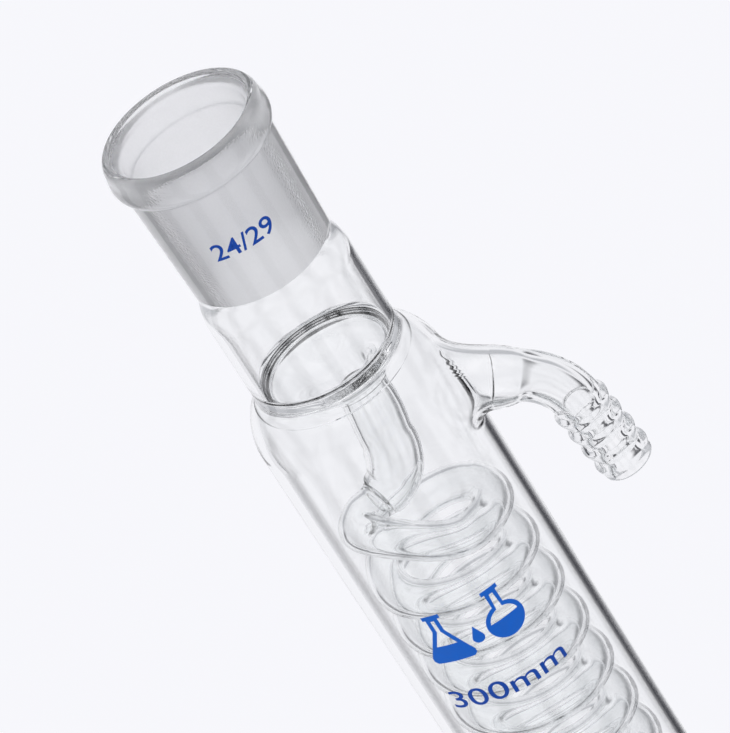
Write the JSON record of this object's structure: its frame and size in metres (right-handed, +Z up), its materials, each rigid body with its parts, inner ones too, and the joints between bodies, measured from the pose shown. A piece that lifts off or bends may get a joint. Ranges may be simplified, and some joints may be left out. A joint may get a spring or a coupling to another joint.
{
  "type": "coil condenser",
  "caption": "Jacketed glass coil condenser with a ground socket above, a ground cone with drip tip below and two bent hose connectors.",
  "frame": {"origin": "under the drip tip, on the axis of the jacket, at the bottom centre of the object's box", "axes": "+Z up the jacket's axis from the cone to the socket, +X towards the upper hose connector, the lower one towards -X"},
  "size_m": [0.0854, 0.038, 0.4321],
  "materials": {
    "clear_glass": "clear fire-polished borosilicate glass",
    "ground_glass": "fine-ground matt borosilicate glass"
  },
  "bodies": {
    "root": {"socket_joint": "ground_glass", "vapour_neck": "clear_glass", "upper_ring_seal": "clear_glass", "neck_floor": "clear_glass", "upper_lead_tube": "clear_glass", "coil": "clear_glass", "lower_lead_tube": "clear_glass", "stem_ceiling": "clear_glass", "lower_ring_seal": "clear_glass", "water_jacket": "clear_glass", "upper_hose_arm": "clear_glass", "lower_hose_arm": "clear_glass", "outlet_stem": "clear_glass", "cone_joint": "ground_glass", "drip_tip": "clear_glass"}
  },
  "joints": []
}
